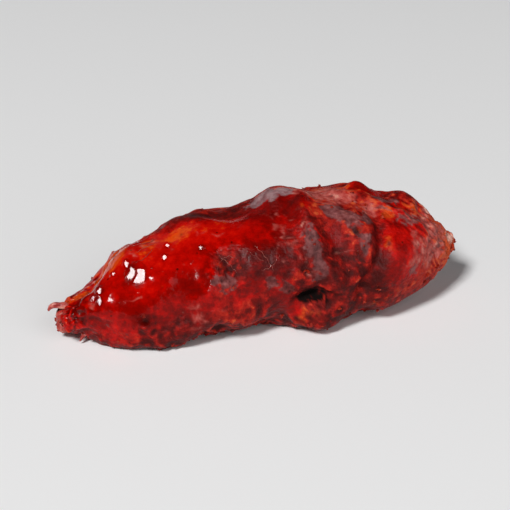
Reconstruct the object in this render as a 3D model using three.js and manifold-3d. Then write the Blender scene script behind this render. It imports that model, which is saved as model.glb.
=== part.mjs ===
// A sauce-glazed chicken tender, lying on its flattened underside.
// Millimetres, +Z up. The origin is under the middle of the piece, on the surface it rests on.
// +X runs from the torn, ragged end to the bluntly pointed end, and -Y is the front.
import * as THREE from "three";
import { mergeVertices } from "three/addons/utils/BufferGeometryUtils.js";
import Module from "manifold-3d";

// Driving dimensions. LENGTH is the crusted body, without the shreds of meat at its torn end.
const LENGTH = 112.5;
const WAIST_WIDTH = 37;
const WAIST_HEIGHT = 28.5;
const HAUNCH = { along: 0.66, reach: 0.17, swell: 0.1 };

// How the piece lies: the middle is pressed flat, and both ends curl up off the surface.
const PRESS = 0.9;
const TORN_END = { lift: 6.5, share: 0.24 };
const BLUNT_END = { lift: 13, share: 0.3 };

// The centre line bows backwards in plan, and the section leans as it runs along the piece.
const BOW = 2.6;
const LEAN_DEG = 7;

// The two tapered ends: the share of the length that each takes, how steeply it leaves the
// full section (fullness), and how blunt its tip is (a low rounding is blunter).
const TORN_TAPER = { share: 0.36, fullness: 1.35, rounding: 0.68 };
const BLUNT_TAPER = { share: 0.26, fullness: 1.9, rounding: 0.78 };

// The very tip of the torn end is a stump: it reaches this girth within the given reach, in mm.
const NOSE = { girth: 0.25, reach: 3.2 };

// The section is a superellipse, squarer below where the meat has settled.
const TOP_SQUARENESS = 2.15;
const BASE_SQUARENESS = 2.35;

// How finely the skin is faceted.
const RINGS = 96;
const SIDES = 46;

// Lumps and hollows of the battered crust. "along" is the share of the length from the torn end,
// "round" is the angle about the centre line in degrees (0 front, 90 top, 180 back, 270 underneath),
// reach is the size of the swelling along and round the piece, and rise is its height, all in mm.
const LUMPS = [
  { name: "smooth shoulder", along: 0.27, round: 62, reach: [17, 14], rise: 1.3 },
  { name: "boss of the dome", along: 0.185, round: 50, reach: [7, 12], rise: 1.2 },
  { name: "lower boss of the dome", along: 0.195, round: 42, reach: [4.5, 3.5], rise: 0.8 },
  { name: "dome's torn edge", along: 0.16, round: 104, reach: [7, 11], rise: 3.9 },
  { name: "neck of the torn end", along: 0.092, round: 116, reach: [4, 5.5], rise: -3.4 },
  { name: "jaw of the torn end", along: 0.095, round: -58, reach: [6, 5], rise: 2.0 },
  { name: "cheek of the torn end", along: 0.083, round: 38, reach: [4, 5], rise: 0.4 },
  { name: "front ledge", along: 0.185, round: -30, reach: [13, 8], rise: 3.6 },
  { name: "front ledge, thin part", along: 0.4, round: -22, reach: [11, 7], rise: 1.0 },
  { name: "dip in the dome", along: 0.285, round: 42, reach: [5, 8], rise: -0.5 },
  { name: "crusty hollow", along: 0.385, round: 35, reach: [5, 5], rise: -1.1 },
  { name: "front waist", along: 0.47, round: -30, reach: [6, 7], rise: -1.0 },
  { name: "low front lump", along: 0.6, round: -30, reach: [7, 5.5], rise: 3.8 },
  { name: "burst blister", along: 0.58, round: -8, reach: [3.4, 2.6], rise: -4.0 },
  { name: "dark hollow", along: 0.66, round: 30, reach: [4.5, 7], rise: -1.8 },
  { name: "front hump", along: 0.712, round: 54, reach: [7, 8], rise: 2.3 },
  { name: "low notch", along: 0.722, round: -38, reach: [2.6, 4], rise: -1.7 },
  { name: "low corner lump", along: 0.785, round: -30, reach: [5, 5], rise: 1.6 },
  { name: "blunt end lobe", along: 0.83, round: 30, reach: [7, 9], rise: 1.5 },
  { name: "crest lump", along: 0.772, round: 110, reach: [3.8, 3.6], rise: 2.2 },
  { name: "dip behind the crest lump", along: 0.83, round: 108, reach: [3, 4], rise: -0.7 },
  { name: "end crest lump", along: 0.882, round: 106, reach: [5, 6], rise: 3.8 },
  { name: "crest hump", along: 0.555, round: 116, reach: [9, 8], rise: 3.8 },
  { name: "saddle", along: 0.44, round: 112, reach: [8, 9], rise: -1.0 },
  { name: "back shoulder", along: 0.3, round: 168, reach: [13, 9], rise: 1.8 },
  { name: "back waist", along: 0.52, round: 176, reach: [7, 9], rise: -2.0 },
  { name: "back haunch", along: 0.72, round: 164, reach: [10, 9], rise: 2.0 },
];

// Folds of batter and a sinew: each runs through a few places on the skin and rises or sinks evenly
// to either side of that line.
const FOLDS = [
  {
    name: "batter fold",
    route: [[0.614, 97], [0.598, 76], [0.594, 56], [0.604, 37], [0.618, 19], [0.635, 3]],
    reach: 2.6,
    rise: 1.8,
  },
  {
    name: "crease",
    route: [[0.764, 62], [0.762, 42], [0.753, 22], [0.725, 6], [0.7, -6]],
    reach: 2,
    rise: -2.1,
  },
  {
    name: "sinew",
    route: [[0.698, 102], [0.77, 86], [0.817, 70], [0.864, 47], [0.905, 32], [0.942, 12]],
    reach: 2,
    rise: 1.4,
  },
  {
    name: "ledge groove",
    route: [[0.06, -14], [0.12, -18], [0.18, -14], [0.25, -2], [0.34, 3], [0.44, 2]],
    reach: 1.6,
    rise: -0.45,
  },
  {
    name: "ledge brim",
    route: [[0.1, -34], [0.18, -28], [0.25, -17], [0.34, -12], [0.44, -14]],
    reach: 3,
    rise: 0.5,
  },
  { name: "back fold", route: [[0.38, 132], [0.45, 158], [0.49, 190]], reach: 2.8, rise: 1.5 },
];

// One curled fibre, two blunt knobs and a short spur of meat at the torn end. Each starts inside the body and is
// drawn out to its tip. Places are in mm from the body's own tip, thick is the greatest radius, and
// a low "tapering" keeps the shred blunt.
const SHREDS = [
  {
    name: "curled fibre",
    root: [4, 1.5, 3],
    middle: [-1.2, 2.2, 5.8],
    tip: [-2.4, 2.2, 2.6],
    thick: 1.05,
    tapering: 0.4,
  },
  {
    name: "front knob",
    root: [3.6, -2, 1.2],
    middle: [1.4, -2.6, 1],
    tip: [0, -2.8, 0.4],
    thick: 1.5,
    tapering: 0.3,
  },
  {
    name: "low knob",
    root: [4, 1, -0.6],
    middle: [1.6, 1, -1],
    tip: [0.6, 0.8, -1.5],
    thick: 1.5,
    tapering: 0.3,
  },
  {
    name: "low spur",
    root: [6.8, -2.4, -2.2],
    middle: [5.8, -3.3, -3.2],
    tip: [4.6, -3.6, -4.5],
    thick: 1,
    tapering: 0.5,
  },
];
const SHRED_STEPS = 10;
const SHRED_SIDES = 8;

// Slow unevenness of the whole crust: waves along and round the piece.
const WAVES = [
  { along: 3.1, round: 2, phase: 0.4, height: 0.45 },
  { along: 5.3, round: -3, phase: 2.1, height: 0.4 },
  { along: 8.9, round: 4, phase: 4.0, height: 0.32 },
  { along: 12.7, round: -5, phase: 1.2, height: 0.24 },
];

const clamp01 = (value) => Math.min(Math.max(value, 0), 1);
const bell = (distance) => Math.exp(-distance * distance);

// The fullness of a tapered end: 0 at its tip and 1 where the taper is over.
function taper(fromTip, { share, fullness, rounding }) {
  const left = 1 - clamp01(fromTip / share);
  return Math.pow(1 - Math.pow(left, fullness), rounding);
}

const girth = (along) => taper(along, TORN_TAPER) * taper(1 - along, BLUNT_TAPER);

// How much wider the torn tip is than its taper alone would make it.
function stump(along) {
  if (along > 0.5) return 1;
  const left = 1 - clamp01((along * LENGTH) / NOSE.reach);
  return Math.max(1, (NOSE.girth * Math.sqrt(1 - left * left)) / girth(along));
}

// How far the underside of the section stands above the resting surface, before it is pressed flat.
function lift(along) {
  const torn = clamp01(1 - along / TORN_END.share);
  const blunt = clamp01(1 - (1 - along) / BLUNT_END.share);
  return TORN_END.lift * torn * torn + BLUNT_END.lift * blunt * blunt - PRESS;
}

// The smallest turn from one angle to another, in radians, between -pi and pi.
function turn(from, to) {
  const difference = to - from;
  return difference - 2 * Math.PI * Math.round(difference / (2 * Math.PI));
}

// The radius of the plain section in one direction, from its half width and half height.
function sectionRadius(angle, halfWidth, halfHeight) {
  const upness = (1 + Math.sin(angle)) / 2;
  const power = BASE_SQUARENESS + (TOP_SQUARENESS - BASE_SQUARENESS) * upness;
  const across = Math.pow(Math.abs(Math.cos(angle)) / halfWidth, power);
  const upright = Math.pow(Math.abs(Math.sin(angle)) / halfHeight, power);
  return Math.pow(across + upright, -1 / power);
}

function lumpRise(lump, along, angle, radius) {
  const lengthwise = (along - lump.along) * LENGTH;
  const crosswise = turn(THREE.MathUtils.degToRad(lump.round), angle) * radius;
  return lump.rise * bell(Math.hypot(lengthwise / lump.reach[0], crosswise / lump.reach[1]));
}

// The distance in mm from a place on the skin to the nearest stretch of a fold's route.
function distanceToRoute(route, along, angle, radius) {
  let nearest = Infinity;
  const middle = THREE.MathUtils.degToRad((route[0][1] + route.at(-1)[1]) / 2);
  const offsets = route.map(([at, round]) => [
    (at - along) * LENGTH,
    (turn(angle, middle) + THREE.MathUtils.degToRad(round) - middle) * radius,
  ]);
  for (let i = 1; i < offsets.length; i++) {
    const [startX, startY] = offsets[i - 1];
    const [stepX, stepY] = [offsets[i][0] - startX, offsets[i][1] - startY];
    const share = clamp01(-(startX * stepX + startY * stepY) / (stepX * stepX + stepY * stepY));
    nearest = Math.min(nearest, Math.hypot(startX + share * stepX, startY + share * stepY));
  }
  return nearest;
}

// Everything that stands out of the plain section at one place, faded out where the piece is thin.
function relief(along, angle, radius) {
  let rise = 0;
  for (const lump of LUMPS) rise += lumpRise(lump, along, angle, radius);
  for (const fold of FOLDS) {
    rise += fold.rise * bell(distanceToRoute(fold.route, along, angle, radius) / fold.reach);
  }
  for (const wave of WAVES) {
    rise += wave.height * Math.sin(wave.along * Math.PI * along + wave.round * angle + wave.phase);
  }
  return rise * Math.sqrt(girth(along));
}

// The place of one point of the skin. At both tips the section has shrunk to a point.
function skinPoint(along, angle, target) {
  const size = girth(along) * (1 + HAUNCH.swell * bell((along - HAUNCH.along) / HAUNCH.reach));
  const halfWidth = (WAIST_WIDTH / 2) * size;
  const halfHeight = (WAIST_HEIGHT / 2) * size;
  const lean = THREE.MathUtils.degToRad(LEAN_DEG) * Math.sin(2 * Math.PI * along);
  const plain = size > 0 ? sectionRadius(angle - lean, halfWidth, halfHeight) * stump(along) : 0;
  const radius = plain + relief(along, angle, plain);
  const bow = BOW * (1 - Math.pow(2 * along - 1, 2));
  const height = lift(along) + halfHeight + radius * Math.sin(angle);
  return target.set(
    (along - 0.5) * LENGTH,
    bow - radius * Math.cos(angle),
    Math.max(height, 0),
  );
}

// A sphere reshaped by a function of the step from pole to pole, 0 to 1, and the angle round.
function reshapedSphere(sides, rings, place) {
  const geometry = new THREE.SphereGeometry(1, sides, rings);
  const { position, uv } = geometry.attributes;
  const point = new THREE.Vector3();
  for (let i = 0; i < position.count; i++) {
    place(1 - uv.getY(i), (uv.getX(i) % 1) * 2 * Math.PI, point);
    position.setXYZ(i, point.x, point.y, point.z);
  }
  return geometry;
}

// The body: a sphere's poles become the two ends, and its rings the sections between them.
// Half of the spacing is by the cosine, which draws the rings closer together near the ends.
function bodyGeometry() {
  return reshapedSphere(SIDES, RINGS, (step, angle, point) => {
    const along = (step + (1 - Math.cos(Math.PI * step)) / 2) / 2;
    skinPoint(along, angle, point);
  });
}

// One shred: a sphere drawn out along a bent line, round at the root and thinner to the tip.
function shredGeometry({ root, middle, tip, thick, tapering }) {
  const tornTip = skinPoint(0, 0, new THREE.Vector3());
  const fromTip = (place) => new THREE.Vector3(...place).add(tornTip);
  const line = new THREE.QuadraticBezierCurve3(fromTip(root), fromTip(middle), fromTip(tip));
  const level = new THREE.Vector3(0, 0, 1);
  return reshapedSphere(SHRED_SIDES, SHRED_STEPS, (step, angle, point) => {
    const forward = line.getTangent(step);
    const sideways = new THREE.Vector3().crossVectors(level, forward).normalize();
    const upwards = new THREE.Vector3().crossVectors(forward, sideways);
    const roundedRoot = Math.sqrt(1 - Math.pow(1 - clamp01(step * 4), 2));
    const radius = thick * roundedRoot * Math.pow(1 - step, tapering);
    point.copy(line.getPoint(step));
    point.addScaledVector(sideways, -radius * Math.cos(angle));
    point.addScaledVector(upwards, radius * Math.sin(angle));
    point.z = Math.max(point.z, 0);
  });
}

const wasm = await Module();
wasm.setup();

// A closed geometry as a solid that can be joined with others.
function solidOf(geometry) {
  const bare = geometry.clone().deleteAttribute("normal").deleteAttribute("uv");
  const merged = mergeVertices(bare, 1e-4);
  return new wasm.Manifold(
    new wasm.Mesh({
      numProp: 3,
      vertProperties: merged.attributes.position.array,
      triVerts: new Uint32Array(merged.index.array),
    }),
  );
}

function geometryOf(solid) {
  const mesh = solid.getMesh();
  const geometry = new THREE.BufferGeometry();
  geometry.setAttribute("position", new THREE.BufferAttribute(mesh.vertProperties, 3));
  geometry.setIndex(new THREE.BufferAttribute(mesh.triVerts, 1));
  return geometry;
}

// The body with its shreds joined on, moved so that the origin is under the middle of its box.
function tenderGeometry() {
  const whole = SHREDS.reduce(
    (solid, shred) => solid.add(solidOf(shredGeometry(shred))),
    solidOf(bodyGeometry()),
  );
  const geometry = geometryOf(whole);
  geometry.computeBoundingBox();
  const centre = geometry.boundingBox.getCenter(new THREE.Vector3());
  geometry.translate(-centre.x, -centre.y, 0);
  geometry.computeVertexNormals();
  return geometry;
}

const glazedCrust = new THREE.MeshStandardMaterial({ color: 0x9c0f08, roughness: 0.22, metalness: 0 });

const tender = new THREE.Mesh(tenderGeometry(), glazedCrust);
tender.name = "tender";

const part = new THREE.Group();
part.add(tender);

export default part;
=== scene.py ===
# %% [markdown]
# # A glazed chicken tender
#
# A tender is the long muscle from under a chicken's breast. It is battered, fried and turned in a
# hot red glaze while it is still in one piece, so what the eye meets is three things on top of each
# other: the bent, swollen shape of the meat, the rough crust that the batter fried into, and the wet
# glaze that lies on the crust, deep in its hollows and thin on its crests.
#
# The shape is made in that order too. Each step is worked out with numpy on one grid, as a function
# of how far along the piece a point is and how far round it.

# %% Load the frame
import itertools
import math

import bpy
import numpy as np
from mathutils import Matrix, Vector


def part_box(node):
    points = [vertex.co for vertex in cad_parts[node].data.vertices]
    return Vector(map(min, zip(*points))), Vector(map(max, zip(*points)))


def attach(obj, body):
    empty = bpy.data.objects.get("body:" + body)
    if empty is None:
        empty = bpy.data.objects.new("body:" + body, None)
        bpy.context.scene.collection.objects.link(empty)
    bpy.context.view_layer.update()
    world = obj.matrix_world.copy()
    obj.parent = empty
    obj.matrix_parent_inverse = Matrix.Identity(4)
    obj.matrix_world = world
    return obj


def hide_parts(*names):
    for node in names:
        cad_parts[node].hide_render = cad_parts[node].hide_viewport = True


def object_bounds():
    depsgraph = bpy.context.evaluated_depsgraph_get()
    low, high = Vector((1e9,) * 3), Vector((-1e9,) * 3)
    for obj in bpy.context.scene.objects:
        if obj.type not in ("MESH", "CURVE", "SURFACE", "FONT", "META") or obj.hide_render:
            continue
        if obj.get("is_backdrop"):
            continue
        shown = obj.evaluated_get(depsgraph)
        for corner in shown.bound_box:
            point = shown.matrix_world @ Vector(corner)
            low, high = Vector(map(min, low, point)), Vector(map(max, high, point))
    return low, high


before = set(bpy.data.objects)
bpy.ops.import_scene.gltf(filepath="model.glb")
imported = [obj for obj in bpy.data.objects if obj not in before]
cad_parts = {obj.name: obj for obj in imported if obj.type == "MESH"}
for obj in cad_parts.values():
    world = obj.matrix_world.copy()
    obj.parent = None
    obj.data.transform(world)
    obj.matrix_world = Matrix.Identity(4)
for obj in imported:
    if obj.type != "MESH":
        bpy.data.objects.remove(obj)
cad_low, cad_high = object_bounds()
MM = 0.001
box_low, box_high = (np.array(corner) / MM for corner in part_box("tender"))
print("the tender's box, in mm:", np.round(box_high - box_low, 1))

# %% [markdown]
# ## The camera and the studio
#
# Food like this is shown from the front and a little above. A long lens keeps the two ends the same
# size, and the piece lies slightly turned, with its torn end nearer.

# %% Camera
AZIMUTH = math.radians(-16)
ELEVATION = math.radians(28)
LENS_MM = 120
FILL = 0.8  # share of the picture's width that the piece takes up


def in_scene(name, data):
    """An object made of some data, linked to the scene."""
    thing = bpy.data.objects.new(name, data)
    bpy.context.scene.collection.objects.link(thing)
    return thing


towards_camera = Vector(
    (
        math.sin(AZIMUTH) * math.cos(ELEVATION),
        -math.cos(AZIMUTH) * math.cos(ELEVATION),
        math.sin(ELEVATION),
    )
)
camera_data = bpy.data.cameras.new("camera")
camera_data.lens = LENS_MM
camera = in_scene("camera", camera_data)
bpy.context.scene.camera = camera
middle = (cad_low + cad_high) / 2
seen_length = (cad_high.x - cad_low.x) * math.cos(AZIMUTH)
distance = seen_length / FILL * LENS_MM / camera_data.sensor_width
camera.location = middle + towards_camera * distance
camera.rotation_euler = towards_camera.to_track_quat("Z", "Y").to_euler()
print(f"camera {distance:.2f} m away")

# %% [markdown]
# A wet glaze is a mirror, so its look is made by what stands round it. One bright square lamp high on
# the front left gives the small hard glints. Wide dim panels at the front right, low on the right and
# behind give the grey sheen on what faces them, and the pale floor is mirrored low down. Everywhere
# else the room is dark, and there the glaze shows its own deep red.


# %% Lamps and room
def square_lamp(name, direction, away, width, height, radiance):
    """A rectangular lamp at a distance in the given direction, turned towards the piece. Its power
    is its radiance times pi times its area."""
    data = bpy.data.lights.new(name, "AREA")
    data.shape = "RECTANGLE"
    data.size = width
    data.size_y = height
    data.energy = radiance * math.pi * width * height
    lamp = in_scene(name, data)
    out = Vector(direction).normalized()
    lamp.location = middle + out * away
    lamp.rotation_euler = out.to_track_quat("Z", "Y").to_euler()


square_lamp("key_lamp", (-0.48, -0.5, 0.75), away=3.0, width=0.6, height=0.6, radiance=76.0)
square_lamp("front_right_panel", (0.3, -0.75, 0.5), away=2.0, width=1.5, height=1.4, radiance=1.7)
square_lamp("right_panel", (0.95, -0.2, 0.15), away=2.0, width=1.2, height=0.8, radiance=0.6)
square_lamp("back_panel", (-0.25, 0.8, 0.52), away=2.5, width=1.4, height=1.0, radiance=0.2)

ROOM_COLOUR = (0.014, 0.014, 0.015, 1)
world = bpy.data.worlds.new("dark_room")
bpy.context.scene.world = world
world.use_nodes = True
world.node_tree.nodes["Background"].inputs["Color"].default_value = ROOM_COLOUR
bpy.context.scene.view_settings.view_transform = "Standard"
print("lamps:", ", ".join(lamp.name for lamp in bpy.data.lights))

# %% [markdown]
# ## Noise
#
# Batter and glaze are uneven at every size, from folds a centimetre long to specks under a
# millimetre. Both kinds of noise below give the same value each time for the same place and seed.
# They are worked out in space, in millimetres, so nothing shows where the grid closes on itself.


# %% Random numbers for the cells of a lattice
def cell_numbers(cells, seed, count):
    """For each whole-number cell, count numbers from 0 to 1: its coordinates times large primes are
    added up, and shifting and multiplying mixes the bits of the sum once for each number."""
    primes = np.array([73856093, 19349663, 83492791])
    mixed = (cells.astype(np.int64) * primes).sum(-1) + seed * 2654435761
    numbers = []
    for _ in range(count):
        mixed = mixed & 0xFFFFFFFF
        mixed = (mixed ^ (mixed >> 13)) * 1274126177 & 0xFFFFFFFF
        mixed = mixed ^ (mixed >> 16)
        numbers.append(mixed / 0xFFFFFFFF)
    return np.stack(numbers, -1)


# %% Smooth noise
def smooth_noise(points, size, seed):
    """Gradient noise, from about -1 to 1, with swellings of the given size. Each corner of a
    point's cell has a random slope, and the eight slopes are blended by a curve that is level at
    both ends."""
    scaled = points / size
    cell = np.floor(scaled)
    inside = scaled - cell
    blend = inside**3 * (inside * (inside * 6 - 15) + 10)
    total = np.zeros(points.shape[:-1])
    for corner in itertools.product((0, 1), repeat=3):
        slope = cell_numbers(cell + corner, seed, 3) * 2 - 1
        weight = np.where(corner, blend, 1 - blend).prod(-1)
        total += weight * ((inside - corner) * slope).sum(-1)
    return total * 1.5


def layered_noise(points, size, seed, layers, fade=0.5):
    """Smooth noise in layers, each of half the size and a fading share of the height before it."""
    total = np.zeros(points.shape[:-1])
    for layer in range(layers):
        total += fade**layer * smooth_noise(points, size / 2**layer, seed + layer)
    return total


# %% Scattered points
def nearest_scattered(points, size, seed):
    """One point is scattered into each cell of the given size. Returns the distance to the nearest
    of them and the way from it, both in cells, and the nearest one's own number."""
    scaled = points / size
    cell = np.floor(scaled)
    nearest = np.full(points.shape[:-1], 9.0)
    way = np.zeros(points.shape)
    number = np.zeros_like(nearest)
    for neighbour in itertools.product((-1, 0, 1), repeat=3):
        values = cell_numbers(cell + neighbour, seed, 4)
        offset = scaled - cell - neighbour - values[..., :3]
        gap = np.linalg.norm(offset, axis=-1)
        nearer = gap < nearest
        way = np.where(nearer[..., None], offset, way)
        number = np.where(nearer, values[..., 3], number)
        nearest = np.where(nearer, gap, nearest)
    return nearest, way, number


# %% [markdown]
# ## The shape of the meat
#
# The piece is long and closed. It could be sculpted by hand, but then nothing in it could be read or
# changed by name. Here it is made as a sphere is: rings from one tip to the other, and points round
# each ring. A ring is a rounded rectangle that grows from nothing at each tip, and the lumps, hollows
# and folds of the battered meat stand out of it or sink into it. Its length is worked out from the
# frame's, so that it fills the same space as the solid that it stands for.

# %% Grid
RINGS = 330
SIDES = 300
CROWDED_TIPS = 0.25  # how much closer together the rings stand towards the tips
CROWDED_SIDE = 0.28  # how much closer together a ring's points stand on its finest side
FINEST_SIDE = math.radians(50)  # the upper front
evenly = np.arange(1, RINGS + 1) / (RINGS + 1)
spread = (1 - CROWDED_TIPS) * evenly + CROWDED_TIPS * (1 - np.cos(np.pi * evenly)) / 2
evenly_round = np.arange(SIDES) / SIDES * 2 * np.pi
spread_round = evenly_round - CROWDED_SIDE * np.sin(evenly_round - FINEST_SIDE)
along, angle = np.meshgrid(spread, spread_round, indexing="ij")
print(f"{RINGS} rings of {SIDES} points")

# %% Driving sizes, in mm and in shares of the length
FIBRE_REACH = 2.6  # how far the torn fibres stand out past the body
LENGTH = box_high[0] - box_low[0] - FIBRE_REACH
WAIST_WIDTH = 37
WAIST_HEIGHT = 28.5
HAUNCH = dict(along=0.66, reach=0.17, swell=0.1)  # the thick half, a tenth wider than the rest
PRESS = 0.9  # how far the underside is pressed flat
TORN_END = dict(lift=6.5, share=0.24)  # how high each tip is lifted, over which share of the length
BLUNT_END = dict(lift=13, share=0.3)
BOW = 2.6  # how far the middle lies behind the ends
LEAN = math.radians(7)  # how far the sections are turned one way and back along the piece
TORN_TAPER = dict(share=0.36, fullness=1.35, rounding=0.68)
BLUNT_TAPER = dict(share=0.26, fullness=1.9, rounding=0.78)
NOSE = dict(girth=0.25, reach=3.2)  # the torn end is a stump that reaches its girth in 3.2 mm
TOP_SQUARENESS = 2.15
BASE_SQUARENESS = 2.35
print(f"the body is {LENGTH:.1f} mm long")

# %% Lumps, folds and waves
# Each lump: share of the length, degrees round (0 front, 90 top, 180 back), its reach along and
# round the piece in mm, and how far it rises in mm.
LUMPS = {
    "smooth shoulder": (0.27, 62, 17, 14, 1.3),
    "boss of the dome": (0.185, 50, 7, 12, 1.2),
    "lower boss of the dome": (0.195, 42, 4.5, 3.5, 0.8),
    "dome's torn edge": (0.16, 104, 7, 11, 3.9),
    "neck of the torn end": (0.092, 116, 4, 5.5, -3.4),
    "jaw of the torn end": (0.095, -58, 6, 5, 2.0),
    "cheek of the torn end": (0.083, 38, 4, 5, 0.4),
    "front ledge": (0.185, -30, 13, 8, 3.6),
    "front ledge, thin part": (0.4, -22, 11, 7, 1.0),
    "dip in the dome": (0.285, 42, 5, 8, -0.5),
    "crusty hollow": (0.385, 35, 5, 5, -1.1),
    "front waist": (0.47, -30, 6, 7, -1.0),
    "low front lump": (0.6, -30, 7, 5.5, 3.8),
    "burst blister": (0.58, -8, 3.4, 2.6, -4.0),
    "dark hollow": (0.66, 30, 4.5, 7, -1.8),
    "small blister": (0.703, 43, 0.9, 0.9, -1.2),
    "front hump": (0.712, 54, 7, 8, 2.3),
    "low notch": (0.722, -38, 2.6, 4, -1.7),
    "low corner lump": (0.785, -30, 5, 5, 1.6),
    "blunt end lobe": (0.83, 30, 7, 9, 1.5),
    "crest lump": (0.772, 110, 3.8, 3.6, 2.2),
    "dip behind the crest lump": (0.83, 108, 3, 4, -0.7),
    "end crest lump": (0.882, 106, 5, 6, 3.8),
    "crest hump": (0.555, 116, 9, 8, 3.8),
    "saddle": (0.44, 112, 8, 9, -1.0),
    "back shoulder": (0.3, 168, 13, 9, 1.8),
    "back waist": (0.52, 176, 7, 9, -2.0),
    "back haunch": (0.72, 164, 10, 9, 2.0),
}
# Each fold: the places that it runs through, its reach to either side in mm, and its rise in mm.
FOLDS = {
    "batter fold": (
        [(0.614, 97), (0.598, 76), (0.594, 56), (0.604, 37), (0.618, 19), (0.635, 3)],
        2.6,
        1.8,
    ),
    "crease": ([(0.764, 62), (0.762, 42), (0.753, 22), (0.725, 6), (0.7, -6)], 2, -2.1),
    "sinew": (
        [(0.698, 102), (0.77, 86), (0.817, 70), (0.864, 47), (0.905, 32), (0.942, 12)],
        2,
        1.4,
    ),
    "ledge groove": (
        [(0.06, -14), (0.12, -18), (0.18, -14), (0.25, -2), (0.34, 3), (0.44, 2)],
        1.6,
        -0.45,
    ),
    "ledge brim": ([(0.1, -34), (0.18, -28), (0.25, -17), (0.34, -12), (0.44, -14)], 3, 0.5),
    "back fold": ([(0.38, 132), (0.45, 158), (0.49, 190)], 2.8, 1.5),
}
# Each wave: turns along, turns round, phase and height in mm.
WAVES = [(3.1, 2, 0.4, 0.45), (5.3, -3, 2.1, 0.4), (8.9, 4, 4.0, 0.32), (12.7, -5, 1.2, 0.24)]


# %% Small helpers
def bell(distance):
    """A smooth hump: 1 at the middle, fading to nothing at about twice its reach."""
    return np.exp(-(distance**2))


def smooth_step(low, high, value):
    """0 below low and 1 above high, with a rounded rise between them. With low above high, it falls
    from 1 to 0 instead."""
    share = np.clip((value - low) / (high - low), 0, 1)
    return share * share * (3 - 2 * share)


def turn(start, end):
    """The smallest turn from one angle to another, between minus pi and pi."""
    return (end - start + np.pi) % (2 * np.pi) - np.pi


# %% Plain sections
def taper(from_tip, share, fullness, rounding):
    """The fullness of a tapered end: 0 at its tip and 1 where the taper is over."""
    left = 1 - np.clip(from_tip / share, 0, 1)
    return (1 - left**fullness) ** rounding


def section_radius(angle, half_width, half_height):
    """A superellipse's radius in one direction. It is squarer below, where the meat settled."""
    upness = (1 + np.sin(angle)) / 2
    power = BASE_SQUARENESS + (TOP_SQUARENESS - BASE_SQUARENESS) * upness
    across = (np.abs(np.cos(angle)) / half_width) ** power
    upright = (np.abs(np.sin(angle)) / half_height) ** power
    return (across + upright) ** (-1 / power)


def rounded_end(share):
    """A quarter circle: it rises upright from 0 and is level at 1."""
    return np.sqrt(1 - (1 - np.clip(share, 0, 1)) ** 2)


girth = taper(along, **TORN_TAPER) * taper(1 - along, **BLUNT_TAPER)
swollen = girth * (1 + HAUNCH["swell"] * bell((along - HAUNCH["along"]) / HAUNCH["reach"]))
half_width = WAIST_WIDTH / 2 * swollen
half_height = WAIST_HEIGHT / 2 * swollen
nose = NOSE["girth"] * rounded_end(along * LENGTH / NOSE["reach"])
stump = np.where(along < 0.5, np.maximum(1, nose / girth), 1)
plain = section_radius(angle - LEAN * np.sin(2 * np.pi * along), half_width, half_height) * stump
print(f"sections up to {2 * half_width.max():.1f} by {2 * half_height.max():.1f} mm")


# %% Places on the skin
unrolled = np.stack((along * LENGTH, -plain * np.cos(angle), plain * np.sin(angle)), -1)
WANDER_MM = 7.0  # the size of the swellings in the edges of places, and how far they stray
STRAY_MM = 2.4
wander = [layered_noise(unrolled, WANDER_MM, seed=71 + k, layers=2) for k in range(2)]
astray = STRAY_MM * np.stack(wander)
print(f"edges stray by up to {np.abs(astray).max():.1f} mm")


def reaches_from(place, degrees, reach_along, reach_round, straying=0.0):
    """How far each grid point is from a place on the skin, as a multiple of the place's reach along
    and round the piece. Straying shifts the points by noise, so that the edge of the place wanders."""
    lengthwise = (along - place) * LENGTH + straying * astray[0]
    crosswise = turn(math.radians(degrees), angle) * plain + straying * astray[1]
    return np.hypot(lengthwise / reach_along, crosswise / reach_round)


FULL_STRAY_REACH = 8


def near(*place, straying=0.0):
    """How near each grid point is to a place on the skin: a bell over the distance in reaches. A
    place with a reach under 8 mm strays less, so that it stays where it is put."""
    own_straying = straying * min(1, place[2] / FULL_STRAY_REACH, place[3] / FULL_STRAY_REACH)
    return bell(reaches_from(*place, own_straying))


def gap_to_route(route, straying=0.0):
    """The distance in mm from each grid point to the nearest stretch of a route over the skin. The
    nearest spot on a stretch is found by dropping the point onto it at a right angle."""
    centre = math.radians((route[0][1] + route[-1][1]) / 2)
    here = turn(centre, angle) * plain + straying * astray[1]
    spots = [
        ((at - along) * LENGTH - straying * astray[0], (math.radians(degrees) - centre) * plain - here)
        for at, degrees in route
    ]
    nearest = np.full(along.shape, np.inf)
    for (x0, y0), (x1, y1) in zip(spots, spots[1:]):
        dx, dy = x1 - x0, y1 - y0
        share = np.clip(-(x0 * dx + y0 * dy) / (dx * dx + dy * dy), 0, 1)
        nearest = np.minimum(nearest, np.hypot(x0 + share * dx, y0 + share * dy))
    return nearest


# %% The meat's surface
LUMP_STRAYING = 0.3
relief = sum(rise * near(*place, straying=LUMP_STRAYING) for *place, rise in LUMPS.values())
for route, reach, rise in FOLDS.values():
    relief = relief + rise * bell(gap_to_route(route, LUMP_STRAYING) / reach)
for turns_along, turns_round, phase, height in WAVES:
    relief = relief + height * np.sin(turns_along * np.pi * along + turns_round * angle + phase)
radius = plain + relief * np.sqrt(girth)

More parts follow.
